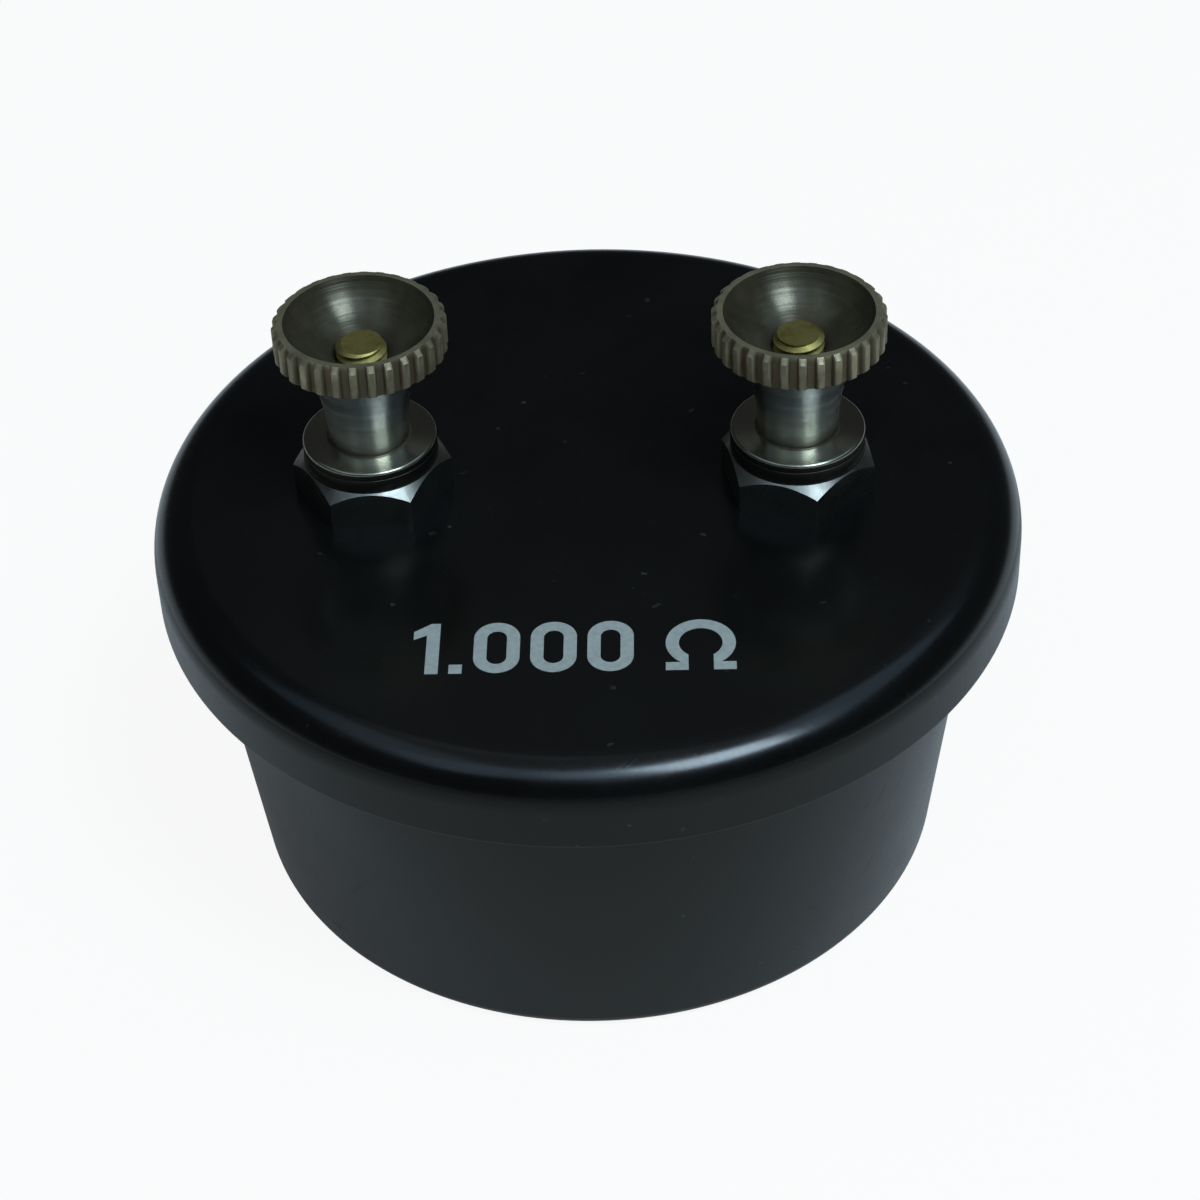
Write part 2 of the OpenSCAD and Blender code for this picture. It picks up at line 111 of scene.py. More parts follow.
def colour(name, description, default):
    """A linear colour."""
    return FloatVectorProperty(
        name=name, description=description, default=default, size=3,
        min=0.0, max=1.0, subtype="COLOR",
    )


def share(name, description, default):
    """A number from 0 to 1."""
    return FloatProperty(
        name=name, description=description, default=default, min=0.0, max=1.0, subtype="FACTOR",
    )


def watts(name, description, default):
    """The power of a lamp."""
    return FloatProperty(
        name=name, description=description, default=default, min=0.0, subtype="POWER", unit="POWER",
    )


class CoilCase(bpy.types.PropertyGroup):
    """Sizes of the lid, the cup and the screw that holds them together"""

    lid_edge: length("Lid edge", "Radius round the lid's top edge", 0.0034)
    skirt_depth: length("Skirt depth", "From the lid's top face down to the skirt's edge", 0.0067)
    skirt_edge: length("Skirt edge", "Radius round the skirt's lower edge", 0.0001)
    polished_from: share("Polished from", "Upward share of the lid's faces that are polished", 0.4)
    skirt_gap: length("Skirt gap", "Gap between the cup's rim and the lid's skirt", 0.00015)
    plate: length("Lid plate", "Thickness of the lid's plate", 0.004)
    boss: length("Lid boss", "Radius of the boss under the lid", 0.0055)
    insert: length("Insert", "Radius of the threaded insert's pocket", 0.0032)
    insert_depth: length("Insert depth", "Depth of the threaded insert's pocket", 0.008)
    stud_hole: length("Stud hole", "Radius of the holes that the studs pass through", 0.00215)
    cup_foot: length("Cup foot", "Radius of the cup at the table, before its edge is rounded", 0.0287)
    cup_edge: length("Cup edge", "Radius round the cup's lower edge", 0.0015)
    cup_wall: length("Cup wall", "Thickness of the cup's wall", 0.0026)
    cup_floor: length("Cup floor", "Thickness of the cup's floor", 0.0032)
    cup_corner: length("Cup corner", "Radius inside the cup, between wall and floor", 0.002)
    cup_boss: length("Cup boss", "Radius of the boss that carries the bobbin", 0.009)
    foot_ring: length("Foot ring", "Inner radius of the ring that the cup stands on", 0.023)
    foot_hollow: length("Foot hollow", "Depth of the hollow inside the foot ring", 0.0006)
    pocket: length("Screw pocket", "Radius of the pocket for the screw's head", 0.00445)
    screw: length("Case screw", "Radius of the case screw", 0.002)
    screw_hole: length("Screw hole", "Radius of the hole for the case screw", 0.00215)
    screw_head: length("Screw head", "Height of the screw's head", 0.0026)
    screw_chamfer: length("Screw chamfer", "Chamfer on the screw's head and tip", 0.0003)
    slot_width: length("Slot width", "Width of the slot in the screw's head", 0.001)
    slot_depth: length("Slot depth", "Depth of the slot in the screw's head", 0.0012)
    steps: count("Steps", "Facets round the lid and the cup", 192, 48, 384)


class CoilTerminals(bpy.types.PropertyGroup):
    """Sizes of the studs, nuts and washers on the lid"""

    pitch: length("Pitch", "Rise of the thread in one turn", 0.0007)
    thread_depth: length("Thread depth", "From the thread's crest to its root", 0.00043)
    thread_steps: count("Thread steps", "Facets in one turn of a thread", 36, 12, 96)
    tip_chamfer: length("Tip chamfer", "Chamfer on the studs' ends", 0.0003)
    bore: length("Bore", "Radius of the bore in the nuts", 0.00205)
    hex_flat: length("Hexagon flat", "Radius to the hexagon's flats", 0.0055)
    hex_face: length("Hexagon face", "Radius of the flat inside the hexagon's chamfer", 0.0054)
    hex_corner: length("Hexagon corner", "Radius along the hexagon's upright corners", 0.00002)
    left_hex_turn: angle("Left hexagon", "Turn of the left hexagon nut", 2)
    right_hex_turn: angle("Right hexagon", "Turn of the right hexagon nut", -18)
    spigot: length("Spigot", "Radius of the spigot that the clamp washer turns on", 0.0031)
    spigot_lip: length("Spigot lip", "Spread of the spigot's end", 0.0004)
    sliding_gap: length("Sliding gap", "Gap between faces that slide on each other", 0.00005)
    washer_edge: length("Washer edge", "Radius round the clamp washers", 0.00004)
    flange: length("Flange", "Thickness of the thumb nuts' flanges", 0.0007)
    flange_edge: length("Flange edge", "Radius round the flanges' upper edge", 0.00025)
    waist: length("Waist", "Radius of the thumb nuts' waists at the flange", 0.0032)
    flare: length("Flare", "Growth of the waists' radius up to the head", 0.0015)
    flare_steps: count("Flare steps", "Facets from the flange to the head", 10, 4, 32)
    waist_foot: length("Waist foot", "Radius between the waist and the flange", 0.0002)
    waist_neck: length("Waist neck", "Radius between the waist and the head", 0.0006)
    head: length("Head", "Height of the knurled heads", 0.0029)
    low_chamfer: length("Lower chamfer", "Chamfer on the heads' lower edge", 0.0003)
    top_chamfer: length("Upper chamfer", "Chamfer on the heads' upper edge", 0.0004)
    rim: length("Rim", "Width of the rim round the dish, with its chamfer", 0.0009)
    dish: length("Dish", "Depth of the dish where it meets the bore's countersink", 0.0031)
    dish_steps: count("Dish steps", "Facets from the dish's rim to the countersink", 20, 4, 64)
    bore_sink: length("Countersink", "Width of the countersink at the bore's mouth", 0.0004)
    grooves: count("Grooves", "Number of grooves in the knurl", 30, 12, 60)
    groove_depth: length("Groove depth", "Depth of the knurl's grooves", 0.00045)
    tooth_edge: length("Tooth edge", "Radius along the edges of the knurl's teeth", 0.00005)


class CoilMark(bpy.types.PropertyGroup):
    """Sizes of the printed value on the lid"""

    centre: point("Centre", "Middle of the printed value on the lid", (-0.0006, -0.0203))
    height: length("Height", "Height of the figures", 0.0057)
    width: length("Width", "Width of a nought", 0.0035)
    stroke: length("Stroke", "Width of the strokes", 0.001)
    gap: length("Gap", "Gap between the figures", 0.0008)
    film: length("Film", "Thickness of the printed film", 0.00003)


class CoilFinishes(bpy.types.PropertyGroup):
    """Colours of the finishes"""

    moulding: colour("Moulding", "Black moulded case", (0.0026, 0.0028, 0.0027))
    dust: colour("Dust", "Specks on the case", (0.09, 0.09, 0.08))
    nickel: colour("Nickel", "Plate on the thumb nuts", (0.76, 0.75, 0.65))
    # Also painted as shade low on the thumb nuts' waists, next to the flanges
    nickel_stain: colour("Nickel stain", "Tarnish on the plate", (0.35, 0.34, 0.275))
    dish: colour("Dish", "Dulled plate in the heads' dishes", (0.088, 0.075, 0.045))
    knurl: colour("Knurl", "Rubbed plate on the knurl's teeth", (0.43, 0.37, 0.24))
    # Grime and painted shade in the knurl's grooves; round the studs in the dishes, painted shade alone
    grime: colour("Grime", "Grime in the grooves and corners", (0.19, 0.15, 0.095))
    hexagon: colour("Hexagon", "Dulled plate on the hexagon nuts", (0.28, 0.272, 0.245))
    # Painted shade: this dark plate stands for the shade on the clamp washers and on the thumb nuts' flange
    # sides
    ring: colour("Ring", "Darkened clamp washers", (0.1, 0.095, 0.075))
    brass: colour("Brass", "Bare studs", (0.45, 0.38, 0.13))
    brass_stain: colour("Brass stain", "Tarnish on the studs", (0.22, 0.17, 0.05))
    steel: colour("Steel", "Plated screw and washers", (0.5, 0.5, 0.48))
    steel_stain: colour("Steel stain", "Dull patches on the plated steel", (0.3, 0.29, 0.27))
    laminate: colour("Laminate", "Brown bobbin", (0.13, 0.055, 0.022))
    cotton: colour("Cotton", "Covering of the resistance wire", (0.06, 0.11, 0.055))
    tin: colour("Tin", "Tinned tags", (0.6, 0.58, 0.54))
    solder: colour("Solder", "Solder on the tags", (0.5, 0.51, 0.53))
    print_white: colour("Print", "Printed value", (0.38, 0.4, 0.365))
    floor: colour("Floor", "Pale floor", (0.88, 0.87, 0.84))


class CoilStage(bpy.types.PropertyGroup):
    """Place of the camera and strength of the lamps"""

    aim: point("Aim", "Point that the camera looks at", (-0.00098, 0.01012, 0.01182))
    distance: length("Distance", "From the aim to the camera", 0.2711)
    azimuth: angle("Azimuth", "Turn of the camera from the front towards the right terminal", 2.39)
    elevation: angle("Elevation", "Height of the camera above the horizon", 40.65)
    roll: angle("Roll", "Lean of the camera", -2.58)
    lens: FloatProperty(
        name="Lens", description="Focal length on a 36 mm frame", default=93.0,
        subtype="DISTANCE_CAMERA", unit="CAMERA",
    )
    shift: FloatVectorProperty(
        name="Shift", description="Shift of the frame", size=2, default=(0.0134, 0.0013), precision=4,
    )
    window_watts: watts("Window", "Power of the window lamp", 2.3)
    curtain_watts: watts("Curtain", "Power of the dimmer lamp beside the window", 0.2)
    front_watts: watts("Front", "Power of the wide dim lamp in front", 0.38)
    left_watts: watts("Left", "Power of the dim lamp on the left", 0.26)
    right_watts: watts("Right", "Power of the dim lamp on the right", 0.5)
    sky_watts: watts("Sky", "Power of the overhead lamp", 0.5)
    back_watts: watts("Back", "Power of the dim lamp behind, which the lid's front reflects", 0.2)
    room: share("Room", "Brightness of the room round the object", 0.035)
    whiteness: share("Whiteness", "Share of plain white in the floor's look", 0.92)
    mirrored: share("Mirrored", "Share of that white that reflections of the floor keep", 0.15)
    floor_span: length("Floor span", "Width of the floor", 12.0)


GROUPS = {
    "coil_case": CoilCase,
    "coil_terminals": CoilTerminals,
    "coil_mark": CoilMark,
    "coil_finishes": CoilFinishes,
    "coil_stage": CoilStage,
}


# Meshes


def half_section(points, closed):
    """A half section in the XZ plane, as a chain of edges from radius and height."""
    bm = bmesh.new()
    corners = [bm.verts.new((r, 0.0, z)) for r, z in points]
    for here, beyond in zip(corners, corners[1:]):
        bm.edges.new((here, beyond))
    if closed:
        bm.edges.new((corners[-1], corners[0]))
    return bm


def weld(bm):
    """Merges doubles and points the faces outwards."""
    bmesh.ops.remove_doubles(bm, verts=bm.verts, dist=WELD)
    bmesh.ops.recalc_face_normals(bm, faces=bm.faces)


def turned(points, steps=FACETS, closed=True):
    """A turned shape round Z. A section that is not closed begins and ends on the axis."""
    bm = half_section(points, closed)
    bmesh.ops.spin(
        bm, geom=bm.verts[:] + bm.edges[:], cent=(0, 0, 0), axis=(0, 0, 1),
        angle=2 * pi, steps=steps, use_merge=True,
    )
    weld(bm)
    return bm


def arc(rise, ball, high, low, steps):
    """Points on a ball whose middle lies on the axis, from one radius to another."""
    first, last = asin(high / ball), asin(low / ball)
    turns = [first + (last - first) * step / steps for step in range(steps + 1)]
    return [(ball * sin(turn), rise - ball * cos(turn)) for turn in turns]


def radius_of(vert):
    """Distance of a vertex from the Z axis."""
    return hypot(vert.co.x, vert.co.y)


def bearing_of(vert):
    """Direction of a vertex from the Z axis."""
    return vert.co.xy.angle_signed(Vector((1, 0)))


def set_radius(vert, r):
    """Moves a vertex towards or away from the axis."""
    factor = r / radius_of(vert)
    vert.co.x *= factor
    vert.co.y *= factor


def soften(bm, edges, offset, segments):
    """Rounds edges."""
    bmesh.ops.bevel(
        bm, geom=edges, offset=offset, offset_type="OFFSET", segments=segments,
        profile=0.5, affect="EDGES", material=-1, clamp_overlap=False,
    )


def round_ring(bm, r, z, offset, segments):
    """Rounds the edge that runs round the axis at one radius and height."""
    def on_ring(vert):
        return abs(radius_of(vert) - r) < WELD and abs(vert.co.z - z) < WELD

    ring = [edge for edge in bm.edges if all(on_ring(vert) for vert in edge.verts)]
    if not ring:
        raise RuntimeError(f"no edge runs round at radius {r} and height {z}")
    soften(bm, ring, offset, segments)


def place(bm, side, turn=0.0):
    """Puts a terminal piece on its stud. The right terminal is the left one turned half round."""
    lo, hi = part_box(f"{side}_terminal_stud")
    half_turn = pi if side == "right" else 0.0
    bmesh.ops.rotate(
        bm, verts=bm.verts, cent=(0, 0, 0), matrix=Matrix.Rotation(turn + half_turn, 3, "Z"),
    )
    bmesh.ops.translate(bm, verts=bm.verts, vec=((lo.x + hi.x) / 2, (lo.y + hi.y) / 2, 0))


def as_object(bm, name):
    """Puts a finished mesh into the scene."""
    mesh = bpy.data.meshes.new(name)
    bm.to_mesh(mesh)
    bm.free()
    thing = bpy.data.objects.new(name, mesh)
    bpy.context.scene.collection.objects.link(thing)
    return thing


def make_piece(bm, name, finishes, body, stands_for=None):
    """Makes a piece that rides on a body. Its faces say which of the finishes they have."""
    piece = as_object(bm, name)
    mesh = piece.data
    mesh.polygons.foreach_set("use_smooth", [True] * len(mesh.polygons))
    mesh.set_sharp_from_angle(angle=CREASE)
    for finish in finishes:
        mesh.materials.append(finish)
    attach(piece, body)
    if stands_for:
        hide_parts(stands_for)


def cut_away(bm, cutters):
    """Cuts closed shapes out of a mesh with the Boolean modifier, and gives the mesh that is left."""
    helpers = [as_object(shape, "blank") for shape in (bm, *cutters)]
    for cutter in helpers[1:]:
        modifier = helpers[0].modifiers.new("cut", "BOOLEAN")
        modifier.operation = "DIFFERENCE"
        modifier.solver = "EXACT"
        modifier.object = cutter
    result = bmesh.new()
    result.from_object(helpers[0], bpy.context.evaluated_depsgraph_get())
    for helper in helpers:
        mesh = helper.data
        bpy.data.objects.remove(helper)
        bpy.data.meshes.remove(mesh)
    return result


def thread(r, depth, pitch, low, high, steps):
    """A right-hand thread, wound past two heights and cut off flat at both."""
    root, flank, spare = pitch / 4, pitch * 5 / 16, 2
    crest = pitch - root - 2 * flank
    heights = [0, root, root + flank, root + flank + crest, pitch]
    radii = [r - depth, r - depth, r, r, r - depth]
    start = low - spare * pitch
    bm = half_section([(x, start + z) for x, z in zip(radii, heights)], closed=False)
    turns = int((high - low) / pitch) + 2 * spare
    bmesh.ops.spin(
        bm, geom=bm.verts[:] + bm.edges[:], cent=(0, 0, 0), axis=(0, 0, 1),
        dvec=(0, 0, pitch / steps), angle=2 * pi * turns, steps=steps * turns,
    )
    bmesh.ops.remove_doubles(bm, verts=bm.verts, dist=WELD)
    for height, direction in ((low, -1), (high, 1)):
        bmesh.ops.bisect_plane(
            bm, geom=bm.verts[:] + bm.edges[:] + bm.faces[:], dist=WELD / 10,
            plane_co=(0, 0, height), plane_no=(0, 0, direction), clear_outer=True,
        )
    bmesh.ops.holes_fill(bm, edges=[edge for edge in bm.edges if edge.is_boundary], sides=0)
    bmesh.ops.recalc_face_normals(bm, faces=bm.faces)
    return bm


def chamfer_end(bm, r, chamfer, end):
    """Turns down the crests of a thread towards one end."""
    for vert in bm.verts:
        room = r - chamfer + abs(vert.co.z - end)
        if radius_of(vert) > room:
            set_radius(vert, room)


# Finishes

# The range that most of a noise's values lie in
NOISE_RANGE = (0.3, 0.7)

# Tarnish on the thumb nuts: features a metre, detail and roughness of its noise
TARNISH = (420, 4.0, 0.65)

# Sheen of turned faces, which spreads across the tool marks
LATHE_SHEEN = {"Anisotropic": 0.75, "Anisotropic_Rotation": 0.25}


def shaded(rgb, factor=1.0):
    """A colour with its alpha, made darker or lighter."""
    return (*(factor * part for part in rgb), 1.0)


class Finish:
    """A procedural material, laid out node by node."""

    def __init__(self, name):
        material = bpy.data.materials.new(name)
        material.use_nodes = True
        self.tree = material.node_tree
        self.shader = self.tree.nodes["Principled BSDF"]
        self.place = self.add("ShaderNodeTexCoord").outputs["Object"]

    def add(self, kind, inputs=None, **settings):
        """Adds a node. An input is a constant or the socket that feeds it."""
        node = self.tree.nodes.new(kind)
        for key, value in settings.items():
            setattr(node, key, value)
        for key, value in (inputs or {}).items():
            self.feed(node.inputs[key], value)
        return node

    def feed(self, socket, value):
        """Sets a socket, or links it to the socket that feeds it."""
        if isinstance(value, bpy.types.NodeSocket):
            self.tree.links.new(value, socket)
        else:
            socket.default_value = value

    def set(self, **inputs):
        """Sets or feeds the shader's own sockets, named with underscores for spaces."""
        for key, value in inputs.items():
            self.feed(self.shader.inputs[key.replace("_", " ")], value)

    def math(self, operation, first, second=0.0):
        """One arithmetic step."""
        return self.add("ShaderNodeMath", {0: first, 1: second}, operation=operation).outputs[0]

    def parts(self, vector):
        """The X, Y and Z of a vector."""
        return self.add("ShaderNodeSeparateXYZ", {"Vector": vector}).outputs

    def noise(self, scale, detail=2.0, roughness=0.5, where=None):
        """Noise, scaled in features a metre."""
        inputs = {
            "Vector": where or self.place, "Scale": scale, "Detail": detail, "Roughness": roughness,
        }
        return self.add("ShaderNodeTexNoise", inputs).outputs["Fac"]

    def stretched(self, scale, turn):
        """Object coordinates that are scaled by axis and turned round Z."""
        inputs = {"Vector": self.place, "Scale": scale, "Rotation": (0, 0, turn)}
        return self.add("ShaderNodeMapping", inputs, vector_type="TEXTURE").outputs["Vector"]

    def spread(self, value, low, high, to_low=0.0, to_high=1.0):
        """Stretches part of a range over another one, and clips what lies outside."""
        inputs = {
            "Value": value, "From Min": low, "From Max": high, "To Min": to_low, "To Max": to_high,
        }
        return self.add("ShaderNodeMapRange", inputs).outputs["Result"]

    def vary(self, noise, first=0.0, last=1.0):
        """Goes from one value to another with a noise."""
        return self.spread(noise, *NOISE_RANGE, first, last)

    def blend(self, factor, first, second):
        """Mixes two colours. The numbers are the sockets that a mix has for colours."""
        return self.add("ShaderNodeMix", {0: factor, 6: first, 7: second}, data_type="RGBA").outputs[2]

    def mottle(self, pattern, rgb, darkest):
        """A colour that is darker where a pattern is low."""
        return self.blend(pattern, shaded(rgb, darkest), shaded(rgb))

    def bump(self, height, distance, strength, below=None):
        """A bump of a height in metres, on top of another bump."""
        inputs = {"Height": height, "Distance": distance, "Strength": strength}
        if below:
            inputs["Normal"] = below
        return self.add("ShaderNodeBump", inputs).outputs["Normal"]

    def scratches(self, scale, turn):
        """Fine straight scratches in one direction: 1 in a scratch, 0 beside it."""
        along, across = 8 / scale, 0.2 / scale
        lines = self.noise(1.0, 1.0, 0.5, self.stretched((along, across, along), turn))
        return self.spread(lines, 0.72, 0.76)

    def round_stud(self):
        """Radius from the nearer stud, and height, so that a pattern runs round a terminal."""
        lo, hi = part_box("right_terminal_stud")
        parts = self.parts(self.place)
        across = self.math("SUBTRACT", self.math("ABSOLUTE", parts["X"]), (lo.x + hi.x) / 2)
        squares = [self.math("MULTIPLY", part, part) for part in (across, parts["Y"])]
        radius = self.math("SQRT", self.math("ADD", *squares))
        return self.add("ShaderNodeCombineXYZ", {"X": radius, "Z": parts["Z"]}).outputs["Vector"]


def shared(lay_out):
    """Makes a finish once, under its function's name, for all the pieces that have it."""
    name = lay_out.__name__

    @wraps(lay_out)
    def finish():
        if name not in bpy.data.materials:
            lay_out(Finish(name), bpy.context.scene.coil_finishes)
        return bpy.data.materials[name]

    return finish


def black_moulding(finish, colours, roughness, gloss, tint):
    """Phenolic moulding with dull patches, a faint skin, a few scratches and specks of dust."""
    patches = finish.noise(90, 4.0, 0.6)
    fine = finish.noise(2600, 2.0, 0.6)
    marks = finish.math("MAXIMUM", finish.scratches(1500, 0.7), finish.scratches(1100, 2.3))
    specks = finish.spread(finish.noise(1300, 0.0), 0.83, 0.86)
    sparse = finish.math("MULTIPLY", specks, finish.spread(patches, 0.5, 0.65, 0.0, 0.5))
    shade = finish.blend(
        finish.vary(patches), shaded(colours.moulding, 0.75), shaded(colours.moulding, 1.25)
    )
    rough = finish.math(
        "ADD", finish.vary(patches, roughness, roughness + 0.06), finish.vary(fine, 0.0, 0.04)
    )
    skin = finish.bump(fine, 0.00002, 0.04)
    finish.set(
        Base_Color=finish.blend(sparse, shade, shaded(colours.dust)),
        Roughness=finish.math("ADD", rough, finish.math("MULTIPLY", marks, 0.06)),
        Normal=finish.bump(finish.noise(350, 1.0), 0.00005, 0.03, skin),
        Specular_IOR_Level=gloss,
        Specular_Tint=shaded(tint),
    )


@shared
def polished_moulding(finish, colours):
    """The lid's top."""
    black_moulding(finish, colours, roughness=0.16, gloss=0.45, tint=(1, 1, 1))


@shared
def dull_moulding(finish, colours):
    """The cup and the lid's skirt, which keep less of their polish."""
    black_moulding(finish, colours, roughness=0.28, gloss=0.26, tint=(1.0, 0.93, 0.78))


@shared
def printed_film(finish, colours):
    """Screen-printed paint, thin in places."""
    grain = finish.noise(2200, 3.0, 0.7)
    finish.set(
        Base_Color=finish.mottle(finish.spread(grain, 0.3, 0.6), colours.print_white, 0.8),
        Roughness=finish.vary(grain, 0.5, 0.65),
        Normal=finish.bump(grain, 0.00001, 0.3),
    )


@shared
def turned_nickel(finish, colours):
    """Turned and plated waists: tool marks run round the stud, tarnish lies in patches, and painted shade
    darkens the waists low down, next to the flange.
    """
    sizes = bpy.context.scene.coil_terminals
    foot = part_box("right_clamp_washer")[1].z + sizes.sliding_gap + sizes.flange
    rings = finish.round_stud()
    height = finish.parts(rings)["Z"]
    marks = finish.noise(9000, 3.0, 0.65, rings)
    bands = finish.noise(1500, 2.0, 0.6, rings)
    patches = finish.noise(*TARNISH)
    # Painted shade: the plate turns to the tarnish colour low on the waist, next to the flange
    low = finish.spread(height, foot + 0.5 * sizes.flange, foot + 2 * sizes.flange, 1.0, 0.0)
    tarnish_and_shade = finish.math("MAXIMUM", low, finish.spread(patches, 0.36, 0.6, 0.6, 0.0))
    rough = finish.math("ADD", finish.spread(low, 0.0, 1.0, 0.2, 0.22), finish.vary(patches, 0.05, 0.0))
    finish.set(
        Base_Color=finish.blend(tarnish_and_shade, shaded(colours.nickel), shaded(colours.nickel_stain)),
        Metallic=1.0,
        Roughness=finish.math("ADD", rough, finish.vary(bands, -0.03, 0.03)),
        Normal=finish.bump(marks, 0.00001, 0.12),
        **LATHE_SHEEN,
    )


@shared
def dulled_dish(finish, colours):
    """The dishes' dulled plate, with coarse tool marks, and painted shade round the stud."""
    sizes = bpy.context.scene.coil_terminals
    rings = finish.round_stud()
    rows = finish.noise(3500, 1.0, 0.5, rings)
    patches = finish.noise(*TARNISH)
    mouth = sizes.bore + sizes.bore_sink
    # Painted shade: the plate darkens round the bore's mouth, about the stud
    stud_shade = finish.spread(finish.parts(rings)["X"], mouth, mouth + 2 * sizes.bore_sink, 1.0, 0.0)
    plate = finish.mottle(finish.spread(patches, 0.36, 0.66), colours.dish, 0.6)
    rough = finish.math("ADD", finish.spread(stud_shade, 0.0, 1.0, 0.26, 0.5), finish.vary(patches, 0.05, 0.0))
    finish.set(
        Base_Color=finish.blend(stud_shade, plate, shaded(colours.grime, 0.3)),
        Metallic=0.5,
        Roughness=rough,
        Normal=finish.bump(rows, 0.00005, 0.5),
        **LATHE_SHEEN,
    )


@shared
def knurled_nickel(finish, colours):
    """Rubbed teeth, with grime and painted shade in the grooves between them."""
    sizes = bpy.context.scene.coil_terminals
    lo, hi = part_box("right_thumb_nut")
    crest = (hi.x - lo.x) / 2
    parts = finish.parts(finish.round_stud())
    patches = finish.noise(*TARNISH)
    # Grime and painted shade: the grooves between the teeth darken, fading out over the top chamfer
    groove_grime_and_shade = finish.math(
        "MULTIPLY",
        finish.spread(parts["X"], crest - 0.7 * sizes.groove_depth, crest - sizes.tooth_edge, 1.0, 0.0),
        finish.spread(parts["Z"], hi.z - sizes.top_chamfer, hi.z, 1.0, 0.0),
    )
    rubbed = finish.mottle(finish.spread(patches, 0.36, 0.66), colours.knurl, 0.6)
    finish.set(
        Base_Color=finish.blend(groove_grime_and_shade, rubbed, shaded(colours.grime)),
        Metallic=1.0,
        Roughness=finish.vary(patches, 0.66, 0.56),
        Normal=finish.bump(finish.noise(6000, 2.0), 0.00001, 0.2),
    )


def plain_metal(finish, metal, stain, roughness):
    """Metal with dull patches and a fine grain."""
    patches = finish.noise(500, 4.0, 0.65)
    finish.set(
        Base_Color=finish.blend(finish.spread(patches, 0.35, 0.6), stain, metal),
        Metallic=1.0,
        Roughness=finish.vary(patches, roughness + 0.15, roughness),
        Normal=finish.bump(finish.noise(6000, 2.0), 0.00001, 0.2),
    )


@shared
def drawn_nickel(finish, colours):
    """The hexagon nuts, cut from drawn bar."""
    plain_metal(finish, shaded(colours.hexagon), shaded(colours.hexagon, 0.7), 0.24)


@shared
def dark_ring(finish, colours):
    """Painted shade: a dark plate on the clamp washers, and on the thumb nuts below their flanges' upper
    edge.
    """
    plain_metal(finish, shaded(colours.ring), shaded(colours.ring, 0.6), 0.3)


@shared
def tarnished_brass(finish, colours):
    """The studs, the nuts under the lid and the threaded insert."""
    plain_metal(finish, shaded(colours.brass), shaded(colours.brass_stain), 0.45)


@shared
def dulled_steel(finish, colours):
    """The case screw and the plain washers."""
    plain_metal(finish, shaded(colours.steel), shaded(colours.steel_stain), 0.3)


@shared
def hot_tin(finish, colours):
    """The solder tags."""
    plain_metal(finish, shaded(colours.tin), shaded(colours.steel), 0.35)


@shared
def soft_solder(finish, colours):
    """The solder on the tags."""
    plain_metal(finish, shaded(colours.solder), shaded(colours.steel), 0.25)


@shared
def brown_laminate(finish, colours):
    """Turned phenolic laminate, whose layers show as fine streaks."""
    layers = finish.noise(1.0, 3.0, 0.6, finish.stretched((1 / 300, 1 / 300, 1 / 5000), 0.0))
    finish.set(
        Base_Color=finish.mottle(finish.vary(layers), colours.laminate, 0.6),
        Roughness=finish.vary(layers, 0.45, 0.6),
        Normal=finish.bump(layers, 0.00002, 0.2),
    )


@shared
def cotton_covering(finish, colours):
    """Cotton covering wrapped round the wire and soaked in varnish."""
    fibres = finish.noise(1.0, 2.0, 0.6, finish.stretched((1 / 6000, 1 / 6000, 1 / 14000), 0.6))
    finish.set(
        Base_Color=finish.mottle(finish.vary(fibres), colours.cotton, 0.45),
        Roughness=finish.vary(fibres, 0.45, 0.7),
        Normal=finish.bump(fibres, 0.00004, 0.5),
    )


@shared
def pale_floor(finish, colours):
    """Matt pale paper that looks white to the camera, is dimmer in reflections, and takes a shadow."""
    stage = bpy.context.scene.coil_stage
    tooth = finish.noise(1500, 3.0)
    finish.set(
        Base_Color=finish.blend(tooth, shaded(colours.floor), shaded(colours.floor, 0.98)),
        Roughness=finish.vary(tooth, 0.85, 0.95),
        Specular_IOR_Level=0.2,
    )
    ray = finish.add("ShaderNodeLightPath").outputs
    reflected = finish.math("MAXIMUM", ray["Is Glossy Ray"], ray["Is Transmission Ray"])
    dimmed = finish.math("MULTIPLY", reflected, stage.mirrored)
    seen = finish.math("MAXIMUM", ray["Is Camera Ray"], dimmed)
    white = finish.add("ShaderNodeEmission", {"Color": shaded((1, 1, 1)), "Strength": 1.0})
    look = {
        0: finish.math("MULTIPLY", seen, stage.whiteness),
        1: finish.shader.outputs[0],
        2: white.outputs[0],
    }
    mix = finish.add("ShaderNodeMixShader", look)
    finish.feed(finish.tree.nodes["Material Output"].inputs["Surface"], mix.outputs[0])


# Pieces


